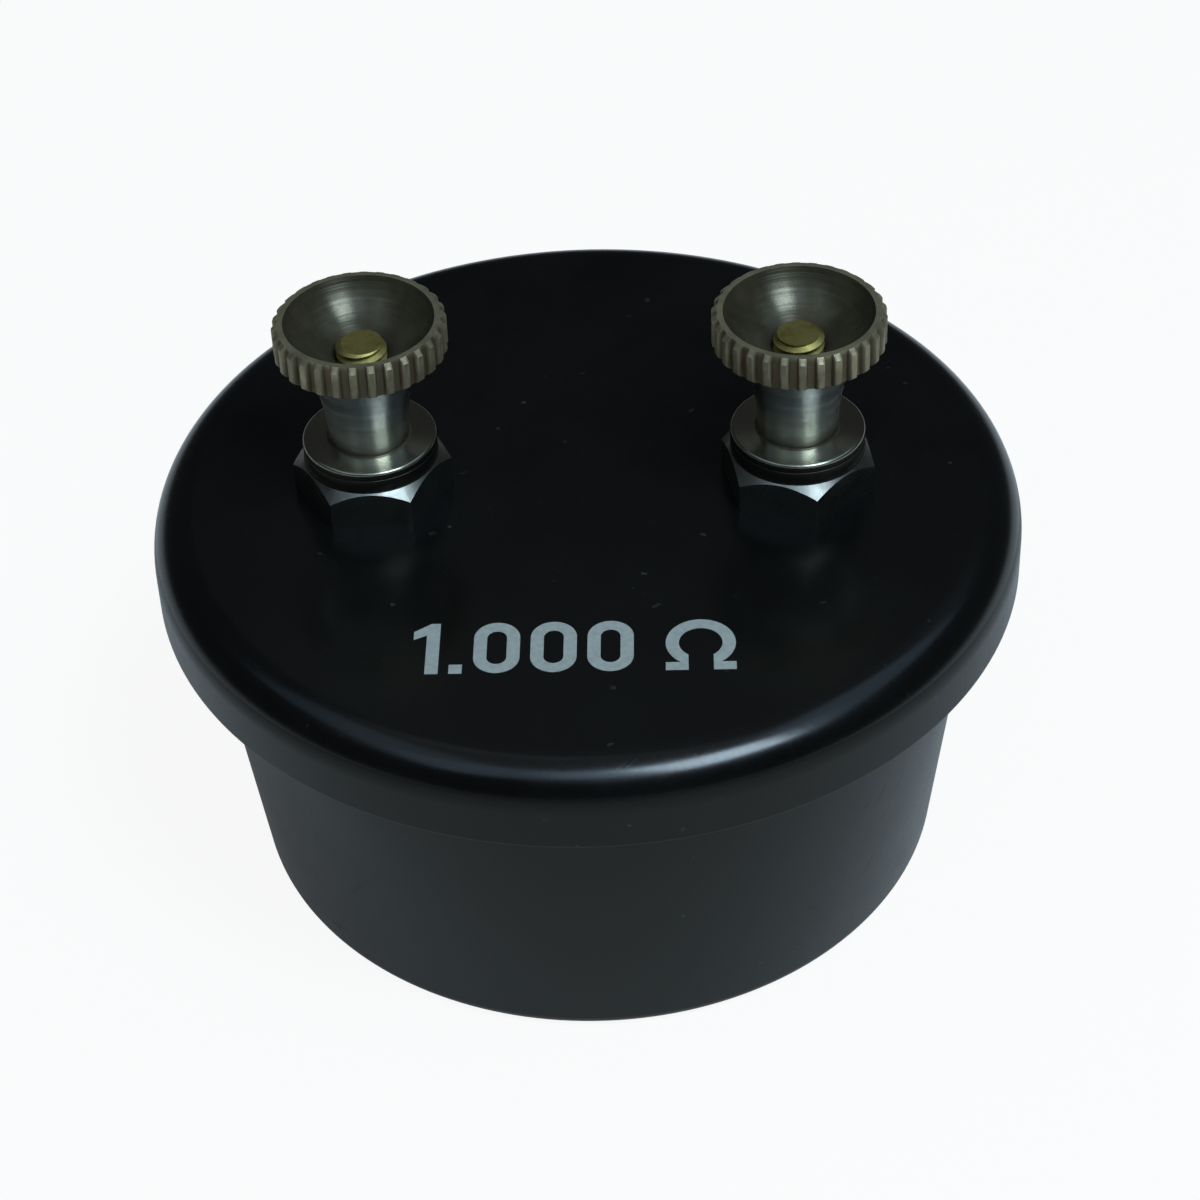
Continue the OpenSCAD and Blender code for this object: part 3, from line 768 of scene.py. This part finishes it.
class MouldLid(bpy.types.Operator):
    """Makes the lid: a plate with a rounded edge, a skirt, and a boss for the case screw"""

    bl_idname = "coil.mould_lid"
    bl_label = "Lid"

    def drill(self, sizes, side, top):
        """A cutter for the hole that a stud passes through."""
        bm = bmesh.new()
        bmesh.ops.create_cone(
            bm, cap_ends=True, segments=FACETS // 2, radius1=sizes.stud_hole, radius2=sizes.stud_hole,
            depth=3 * sizes.plate,
        )
        place(bm, side)
        bmesh.ops.translate(bm, verts=bm.verts, vec=(0, 0, top))
        return bm

    def execute(self, context):
        sizes = context.scene.coil_case
        lo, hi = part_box("case_lid")
        rim, top, boss_low = hi.x, hi.z, lo.z
        skirt, under = top - sizes.skirt_depth, top - sizes.plate
        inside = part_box("case_cup")[1].x + sizes.skirt_gap
        support = sizes.skirt_edge
        bm = turned(
            [
                (0, top),
                (rim - sizes.lid_edge - support, top),
                (rim, top),
                (rim, top - sizes.lid_edge - support),
                (rim, skirt + 2 * support),
                (rim, skirt),
                (inside, skirt),
                (inside, under),
                (sizes.boss, under),
                (sizes.boss, boss_low),
                (sizes.insert, boss_low),
                (sizes.insert, boss_low + sizes.insert_depth),
                (0, boss_low + sizes.insert_depth),
            ],
            sizes.steps, closed=False,
        )
        round_ring(bm, rim, top, sizes.lid_edge, segments=20)
        round_ring(bm, rim, skirt, sizes.skirt_edge, segments=5)
        bm = cut_away(bm, [self.drill(sizes, side, top) for side in SIDES])
        for face in bm.faces:
            face.material_index = int(face.normal.z < sizes.polished_from)
        finishes = [polished_moulding(), dull_moulding()]
        make_piece(bm, "lid_moulding", finishes, "case", "case_lid")
        return {"FINISHED"}


class MouldCup(bpy.types.Operator):
    """Makes the cup: a tapered wall with a rounded foot, and a boss with the screw's pocket"""

    bl_idname = "coil.mould_cup"
    bl_label = "Cup"

    def execute(self, context):
        sizes = context.scene.coil_case
        rim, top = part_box("case_cup")[1].x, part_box("case_cup")[1].z
        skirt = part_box("case_lid")[1].z - sizes.skirt_depth
        boss_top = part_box("bobbin")[0].z
        pocket_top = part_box("screw_washer")[1].z
        slope = (rim - sizes.cup_foot) / skirt
        lean = Vector((1, slope)).angle(Vector((1, 0)))
        inner_foot = sizes.cup_foot + slope * sizes.cup_floor - sizes.cup_wall / cos(lean)
        near = tan(pi / 4 + lean / 2)
        bm = turned(
            [
                (sizes.foot_ring, 0),
                (sizes.cup_foot, 0),
                (rim, skirt),
                (rim, top),
                (rim - sizes.cup_wall, top),
                (rim - sizes.cup_wall, skirt),
                (inner_foot, sizes.cup_floor),
                (sizes.cup_boss, sizes.cup_floor),
                (sizes.cup_boss, boss_top),
                (sizes.screw_hole, boss_top),
                (sizes.screw_hole, pocket_top),
                (sizes.pocket, pocket_top),
                (sizes.pocket, sizes.foot_hollow),
                (sizes.foot_ring, sizes.foot_hollow),
            ],
            sizes.steps,
        )
        round_ring(bm, sizes.cup_foot, 0, sizes.cup_edge / near, segments=12)
        round_ring(bm, inner_foot, sizes.cup_floor, sizes.cup_corner / near, segments=8)
        round_ring(bm, sizes.foot_ring, 0, sizes.foot_hollow / 2, segments=3)
        make_piece(bm, "cup_moulding", [dull_moulding()], "case", "case_cup")
        return {"FINISHED"}


class PrintValue(bpy.types.Operator):
    """Prints the value of the coil on the lid: a figure, noughts and the sign for ohm"""

    bl_idname = "coil.print_value"
    bl_label = "Printed value"

    # Noughts after the point, half the opening of the ohm sign, and the height of its ring in strokes
    NOUGHTS = 3
    HALF_OPENING = radians(35)
    RING_LIFT = 0.4

    def patch(self, bm, corners):
        """A straight-edged part of a figure, flat on the lid."""
        bm.faces.new([bm.verts.new((x, y, 0)) for x, y in corners])

    def bar(self, bm, left, low, right, high):
        """A straight stroke."""
        self.patch(bm, ((left, low), (right, low), (right, high), (left, high)))

    def bow(self, bm, x, y, r, stroke, start, turn):
        """A round stroke about a point, from one direction on through a turn."""
        ends = [bm.verts.new((x + r - inset, y, 0)) for inset in (0, stroke)]
        bmesh.ops.rotate(bm, verts=ends, cent=(x, y, 0), matrix=Matrix.Rotation(start, 3, "Z"))
        bmesh.ops.spin(
            bm, geom=[*ends, bm.edges.new(ends)], cent=(x, y, 0), axis=(0, 0, 1), angle=turn, steps=32,
        )

    def one(self, bm, mark):
        """A figure one with a slanting flag, drawn in strokes."""
        stroke, height = mark.stroke, mark.height
        self.patch(bm, (
            (stroke, 0), (2 * stroke, 0), (2 * stroke, height), (1.3 * stroke, height),
            (0, height - 0.9 * stroke), (0, height - 1.8 * stroke), (stroke, height - 1.3 * stroke),
        ))

    def nought(self, bm, left, mark):
        """Two half rings with straight sides between them."""
        r = mark.width / 2
        for level, start in ((mark.height - r, 0), (r, pi)):
            self.bow(bm, left + r, level, r, mark.stroke, start, pi)
        for x in (left, left + mark.width - mark.stroke):
            self.bar(bm, x, r, x + mark.stroke, mark.height - r)

    def ohm_sign(self, bm, left, mark):
        """A ring that is open below, on two feet."""
        opening = self.HALF_OPENING
        r = (mark.height - self.RING_LIFT * mark.stroke) / 2
        x, y = left + r, mark.height - r
        self.bow(bm, x, y, r, mark.stroke, opening - pi / 2, 2 * (pi - opening))
        near, far = [
            (reach * sin(opening), y - reach * cos(opening)) for reach in (r - mark.stroke, r)
        ]
        for side in (-1, 1):
            foot = (near, far, (r, far[1]), (r, 0), (near[0], 0))
            self.patch(bm, [(x + side * across, up) for across, up in foot])

    def execute(self, context):
        mark = context.scene.coil_mark
        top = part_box("case_lid")[1].z
        bm = bmesh.new()
        self.one(bm, mark)
        x = 2 * mark.stroke + mark.gap
        self.bar(bm, x, 0, x + mark.stroke, mark.stroke)
        x += mark.stroke + mark.gap
        for _ in range(self.NOUGHTS):
            self.nought(bm, x, mark)
            x += mark.width + mark.gap
        x += 2 * mark.gap
        self.ohm_sign(bm, x, mark)
        weld(bm)
        for face in bm.faces:
            if face.normal.z < 0:
                face.normal_flip()
        raised = bmesh.ops.extrude_face_region(bm, geom=bm.faces[:])["geom"]
        lifted = [item for item in raised if isinstance(item, bmesh.types.BMVert)]
        bmesh.ops.translate(bm, verts=lifted, vec=(0, 0, mark.film))
        xs = [vert.co.x for vert in bm.verts]
        middle = Vector(((min(xs) + max(xs)) / 2, mark.height / 2, 0))
        bmesh.ops.translate(bm, verts=bm.verts, vec=Vector((*mark.centre, top)) - middle)
        bmesh.ops.recalc_face_normals(bm, faces=bm.faces)
        make_piece(bm, "value_print", [printed_film()], "case")
        return {"FINISHED"}


class CutStuds(bpy.types.Operator):
    """Cuts the two threaded studs"""

    bl_idname = "coil.cut_studs"
    bl_label = "Studs"

    def execute(self, context):
        sizes = context.scene.coil_terminals
        for side in SIDES:
            node = f"{side}_terminal_stud"
            lo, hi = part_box(node)
            r = (hi.x - lo.x) / 2
            bm = thread(r, sizes.thread_depth, sizes.pitch, lo.z, hi.z, sizes.thread_steps)
            chamfer_end(bm, r, sizes.tip_chamfer, hi.z)
            place(bm, side)
            make_piece(bm, f"{side}_stud_thread", [tarnished_brass()], "case", node)
        return {"FINISHED"}


class CutHexagons(bpy.types.Operator):
    """Cuts the hexagon nuts on the lid, with a turned chamfer on their corners"""

    bl_idname = "coil.cut_hexagons"
    bl_label = "Hexagon nuts"

    def execute(self, context):
        sizes = context.scene.coil_terminals
        flat = sizes.hex_flat
        corner = flat / cos(pi / HEX)
        for side in SIDES:
            node = f"{side}_hex_nut"
            lo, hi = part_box(node)
            bm = turned(
                [(sizes.bore, lo.z), (flat, lo.z), (flat, hi.z), (sizes.hex_face, hi.z), (sizes.bore, hi.z)]
            )
            for vert in bm.verts:
                if radius_of(vert) > flat - WELD:
                    off_flat = bearing_of(vert) % (2 * pi / HEX) - pi / HEX
                    set_radius(vert, flat / cos(off_flat))
                    if vert.co.z > hi.z - WELD:
                        vert.co.z -= radius_of(vert) - sizes.hex_face
            upright = [
                edge for edge in bm.edges
                if all(radius_of(vert) > corner - WELD for vert in edge.verts)
            ]
            soften(bm, upright, sizes.hex_corner, segments=3)
            place(bm, side, getattr(sizes, f"{side}_hex_turn"))
            make_piece(bm, f"{side}_hexagon", [drawn_nickel()], "case", node)
        return {"FINISHED"}


class TurnClampWashers(bpy.types.Operator):
    """Turns the captive washers between hexagon and thumb nut"""

    bl_idname = "coil.turn_clamp_washers"
    bl_label = "Clamp washers"

    def execute(self, context):
        sizes = context.scene.coil_terminals
        bore = sizes.spigot + sizes.sliding_gap
        sink = sizes.spigot_lip + sizes.sliding_gap
        for side in SIDES:
            node = f"{side}_clamp_washer"
            lo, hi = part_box(node)
            r = (hi.x - lo.x) / 2
            bm = turned([(bore + sink, lo.z), (r, lo.z), (r, hi.z), (bore, hi.z), (bore, lo.z + sink)])
            for z in (lo.z, hi.z):
                round_ring(bm, r, z, sizes.washer_edge, segments=3)
            place(bm, side)
            # The washers take a dark plate that is painted shade
            make_piece(bm, f"{side}_clamp_ring", [dark_ring()], f"{side}_clamp", node)
        return {"FINISHED"}


class TurnThumbNuts(bpy.types.Operator):
    """Turns and knurls the thumb nuts: a flange, a waist and a dished head"""

    bl_idname = "coil.turn_thumb_nuts"
    bl_label = "Thumb nuts"

    # Columns of vertices in one pitch of the knurl, counted from the middle of a groove
    COLUMNS = 10
    ROOT = (8, 9, 0, 1, 2)
    EDGES = (3, 7)

    # Places of the four finishes in the piece's list
    WAIST, DISH, KNURL, RING = range(4)

    def waist(self, sizes, low, high):
        """The waist's outline, which flares towards the head."""
        shares = [step / sizes.flare_steps for step in range(sizes.flare_steps + 1)]
        return [(sizes.waist + sizes.flare * share ** 2, low + share * (high - low)) for share in shares]

    def knurl(self, bm, sizes, head_low, r):
        """Cuts the grooves by moving whole columns of vertices inwards, and rounds the teeth's edges."""
        root = r - sizes.groove_depth
        step = 2 * pi / (sizes.grooves * self.COLUMNS)
        crest = set()
        for vert in bm.verts:
            if vert.co.z < head_low - WELD or radius_of(vert) < root:
                continue
            column = round(bearing_of(vert) / step) % self.COLUMNS
            if column in self.ROOT:
                set_radius(vert, root)
            elif column in self.EDGES and radius_of(vert) > r - WELD:
                crest.add(vert)
        teeth = [
            edge for edge in bm.edges
            if crest.issuperset(edge.verts)
            and abs(edge.verts[0].co.z - edge.verts[1].co.z) > sizes.top_chamfer
        ]
        soften(bm, teeth, sizes.tooth_edge, segments=2)

    def sort_faces(self, bm, head_low, lip, flange_top, flange_low):
        """Says which finish each face has."""
        bm.normal_update()
        for face in bm.faces:
            middle = face.calc_center_median()
            if middle.z > head_low - WELD and hypot(middle.x, middle.y) > lip:
                face.material_index = self.KNURL
            elif middle.z > flange_top + WELD and face.normal.z > 0:
                face.material_index = self.DISH
            # Painted shade: below the flange's upper edge the nut takes the dark plate of the clamp washers
            elif middle.z < flange_low:
                face.material_index = self.RING
            else:
                face.material_index = self.WAIST

    def execute(self, context):
        sizes = context.scene.coil_terminals
        finishes = [turned_nickel(), dulled_dish(), knurled_nickel(), dark_ring()]
        for side in SIDES:
            node = f"{side}_thumb_nut"
            lo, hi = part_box(node)
            washer_lo, washer_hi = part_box(f"{side}_clamp_washer")
            r = (hi.x - lo.x) / 2
            flange_r = (washer_hi.x - washer_lo.x) / 2
            seat = washer_hi.z + sizes.sliding_gap
            head_low = hi.z - sizes.head
            flange_top = seat + sizes.flange
            lip, sink = r - sizes.rim, sizes.bore + sizes.bore_sink
            rise = (lip ** 2 - sink ** 2 - sizes.dish ** 2) / (2 * sizes.dish)
            bm = turned(
                [
                    (sizes.bore, lo.z),
                    (sizes.spigot + sizes.spigot_lip, lo.z),
                    (sizes.spigot, lo.z + sizes.spigot_lip),
                    (sizes.spigot, seat),
                    (flange_r, seat),
                    (flange_r, flange_top),
                    *self.waist(sizes, flange_top, head_low),
                    (r - sizes.low_chamfer, head_low),
                    (r, head_low + sizes.low_chamfer),
                    (r, hi.z - sizes.top_chamfer),
                    (r - sizes.top_chamfer, hi.z),
                    *arc(hi.z + rise, hypot(lip, rise), lip, sink, sizes.dish_steps),
                    (sizes.bore, hi.z - sizes.dish - sizes.bore_sink),
                ],
                sizes.grooves * self.COLUMNS,
            )
            round_ring(bm, flange_r, flange_top, sizes.flange_edge, segments=4)
            round_ring(bm, sizes.waist, flange_top, sizes.waist_foot, segments=4)
            round_ring(bm, sizes.waist + sizes.flare, head_low, sizes.waist_neck, segments=5)
            self.knurl(bm, sizes, head_low, r)
            self.sort_faces(bm, head_low, lip, flange_top, flange_top - sizes.flange_edge)
            place(bm, side)
            make_piece(bm, f"{side}_knurled_nut", finishes, f"{side}_thumb", node)
        return {"FINISHED"}


class CutCaseScrew(bpy.types.Operator):
    """Cuts the slotted screw under the cup, and its washer"""

    bl_idname = "coil.cut_case_screw"
    bl_label = "Case screw"

    def execute(self, context):
        sizes = context.scene.coil_case
        terminals = context.scene.coil_terminals
        lo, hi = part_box("case_screw")
        head = (hi.x - lo.x) / 2
        seat = lo.z + sizes.screw_head
        bm = turned(
            [
                (0, lo.z),
                (head - sizes.screw_chamfer, lo.z),
                (head, lo.z + sizes.screw_chamfer),
                (head, seat),
                (0, seat),
            ],
            closed=False,
        )
        slot = bmesh.new()
        bmesh.ops.create_cube(slot, size=1)
        bmesh.ops.scale(slot, verts=slot.verts, vec=(3 * head, sizes.slot_width, 2 * sizes.slot_depth))
        bmesh.ops.translate(slot, verts=slot.verts, vec=(0, 0, lo.z))
        bm = cut_away(bm, [slot])
        shank = thread(
            sizes.screw, terminals.thread_depth, terminals.pitch, seat, hi.z, terminals.thread_steps,
        )
        chamfer_end(shank, sizes.screw, sizes.screw_chamfer, hi.z)
        mesh = bpy.data.meshes.new("shank")
        shank.to_mesh(mesh)
        shank.free()
        bm.from_mesh(mesh)
        bpy.data.meshes.remove(mesh)
        make_piece(bm, "slotted_screw", [dulled_steel()], "case", "case_screw")

        lo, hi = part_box("screw_washer")
        hole = sizes.screw_hole
        washer = turned([(hole, lo.z), (hi.x, lo.z), (hi.x, hi.z), (hole, hi.z)])
        round_ring(washer, hi.x, lo.z, terminals.washer_edge, segments=2)
        make_piece(washer, "screw_ring", [dulled_steel()], "case", "screw_washer")
        return {"FINISHED"}


class FinishInside(bpy.types.Operator):
    """Gives the solids inside the closed case their finishes"""

    bl_idname = "coil.finish_inside"
    bl_label = "Inside"

    def execute(self, context):
        inside = {
            "lid_insert": tarnished_brass(),
            "bobbin": brown_laminate(),
            "resistance_winding": cotton_covering(),
        }
        for side in SIDES:
            inside[f"{side}_under_washer"] = dulled_steel()
            inside[f"{side}_solder_tag"] = hot_tin()
            inside[f"{side}_under_nut"] = tarnished_brass()
            inside[f"{side}_solder_joint"] = soft_solder()
        for node, finish in inside.items():
            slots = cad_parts[node].material_slots
            if not slots:
                raise RuntimeError(f"{node} has no material slot")
            for slot in slots:
                slot.material = finish
        return {"FINISHED"}


class SetStage(bpy.types.Operator):
    """Sets the pale floor, the lamps, the room and the camera"""

    bl_idname = "coil.set_stage"
    bl_label = "Stage"

    # Name, width and height, degrees to the right of the front, degrees up, distance, tint
    LAMPS = (
        ("window", (0.24, 0.21), 42.5, 60, 0.6, (0.66, 0.85, 1.0)),
        ("curtain", (0.2, 0.18), 4, 61, 0.6, (0.48, 0.72, 1.0)),
        ("front", (0.9, 0.3), 0, 62, 0.7, (0.48, 0.72, 1.0)),
        ("left", (0.7, 0.3), -70, 60, 0.7, (0.5, 0.75, 1.0)),
        ("right", (0.7, 0.3), 88, 60, 0.7, (0.5, 0.75, 1.0)),
        ("sky", (0.9, 0.9), -30, 76, 0.75, (0.85, 0.95, 1.0)),
        ("back", (0.9, 0.75), 165, 61, 1.15, (0.84, 0.94, 1.0)),
    )
    ROOM_TINT = (0.95, 1.0, 1.05)

    def lay_floor(self, stage):
        """The paper that the object stands on."""
        bm = bmesh.new()
        bmesh.ops.create_grid(bm, x_segments=1, y_segments=1, size=stage.floor_span / 2)
        floor = as_object(bm, "floor")
        floor.data.materials.append(pale_floor())

    def hang_lamp(self, stage, name, span, azimuth, elevation, reach, tint):
        """A soft lamp that points at the object."""
        data = bpy.data.lights.new(name, "AREA")
        data.energy = getattr(stage, f"{name}_watts")
        data.shape = "RECTANGLE"
        data.size, data.size_y = span
        data.color = tint
        turn, lift = radians(azimuth), radians(elevation)
        way = Vector((cos(lift) * sin(turn), -cos(lift) * cos(turn), sin(lift)))
        lamp = bpy.data.objects.new(name, data)
        bpy.context.scene.collection.objects.link(lamp)
        lamp.location = Vector((0, 0, CAD_BOX[1][2] / 2)) + reach * way
        lamp.rotation_euler = way.to_track_quat("Z", "Y").to_euler()

    def dim_room(self, stage):
        """The faint light that comes from all round."""
        world = bpy.data.worlds.new("room")
        world.use_nodes = True
        backdrop = world.node_tree.nodes["Background"].inputs
        backdrop["Color"].default_value = shaded(self.ROOM_TINT)
        backdrop["Strength"].default_value = stage.room
        return world

    def set_camera(self, stage):
        """A camera at the photograph's viewing angle."""
        swing = Matrix.Rotation(stage.azimuth, 3, "Z")
        back = swing @ Vector((0, -cos(stage.elevation), sin(stage.elevation)))
        right = swing @ Vector((1, 0, 0))
        up = back.cross(right)
        lean = Matrix.Rotation(stage.roll, 3, back)
        axes = Matrix((lean @ right, lean @ up, back)).transposed()
        data = bpy.data.cameras.new("camera")
        data.sensor_width = 36
        data.lens = stage.lens
        data.shift_x, data.shift_y = stage.shift
        data.clip_start = 0.01
        camera = bpy.data.objects.new("camera", data)
        bpy.context.scene.collection.objects.link(camera)
        camera.matrix_world = Matrix.Translation(Vector(stage.aim) + stage.distance * back) @ axes.to_4x4()
        return camera

    def execute(self, context):
        scene = context.scene
        stage = scene.coil_stage
        self.lay_floor(stage)
        for lamp in self.LAMPS:
            self.hang_lamp(stage, *lamp)
        scene.world = self.dim_room(stage)
        scene.camera = self.set_camera(stage)
        scene.view_settings.view_transform = "Standard"
        return {"FINISHED"}


OPERATORS = (
    MouldLid,
    MouldCup,
    PrintValue,
    CutStuds,
    CutHexagons,
    TurnClampWashers,
    TurnThumbNuts,
    CutCaseScrew,
    FinishInside,
    SetStage,
)


class CoilPanel(bpy.types.Panel):
    """Lists the pieces and their sizes"""

    bl_idname = "VIEW3D_PT_coil"
    bl_label = "Resistance Coil"
    bl_space_type = "VIEW_3D"
    bl_region_type = "UI"
    bl_category = "Coil"

    def draw(self, context):
        for operator in OPERATORS:
            self.layout.operator(operator.bl_idname)
        for name, group in GROUPS.items():
            box = self.layout.box()
            box.label(text=group.__doc__)
            for key in group.__annotations__:
                box.prop(getattr(context.scene, name), key)


CLASSES = (*GROUPS.values(), *OPERATORS, CoilPanel)


def register():
    """Registers the classes and hangs the sizes on the scene."""
    for cls in CLASSES:
        bpy.utils.register_class(cls)
    for name, group in GROUPS.items():
        setattr(bpy.types.Scene, name, PointerProperty(type=group))


def unregister():
    """Takes back what register did."""
    for name in GROUPS:
        delattr(bpy.types.Scene, name)
    for cls in reversed(CLASSES):
        bpy.utils.unregister_class(cls)


def main():
    """Registers the classes, and makes every piece and the stage."""
    register()
    for operator in OPERATORS:
        group, name = operator.bl_idname.split(".")
        getattr(getattr(bpy.ops, group), name)()


if __name__ == "__main__":
    main()
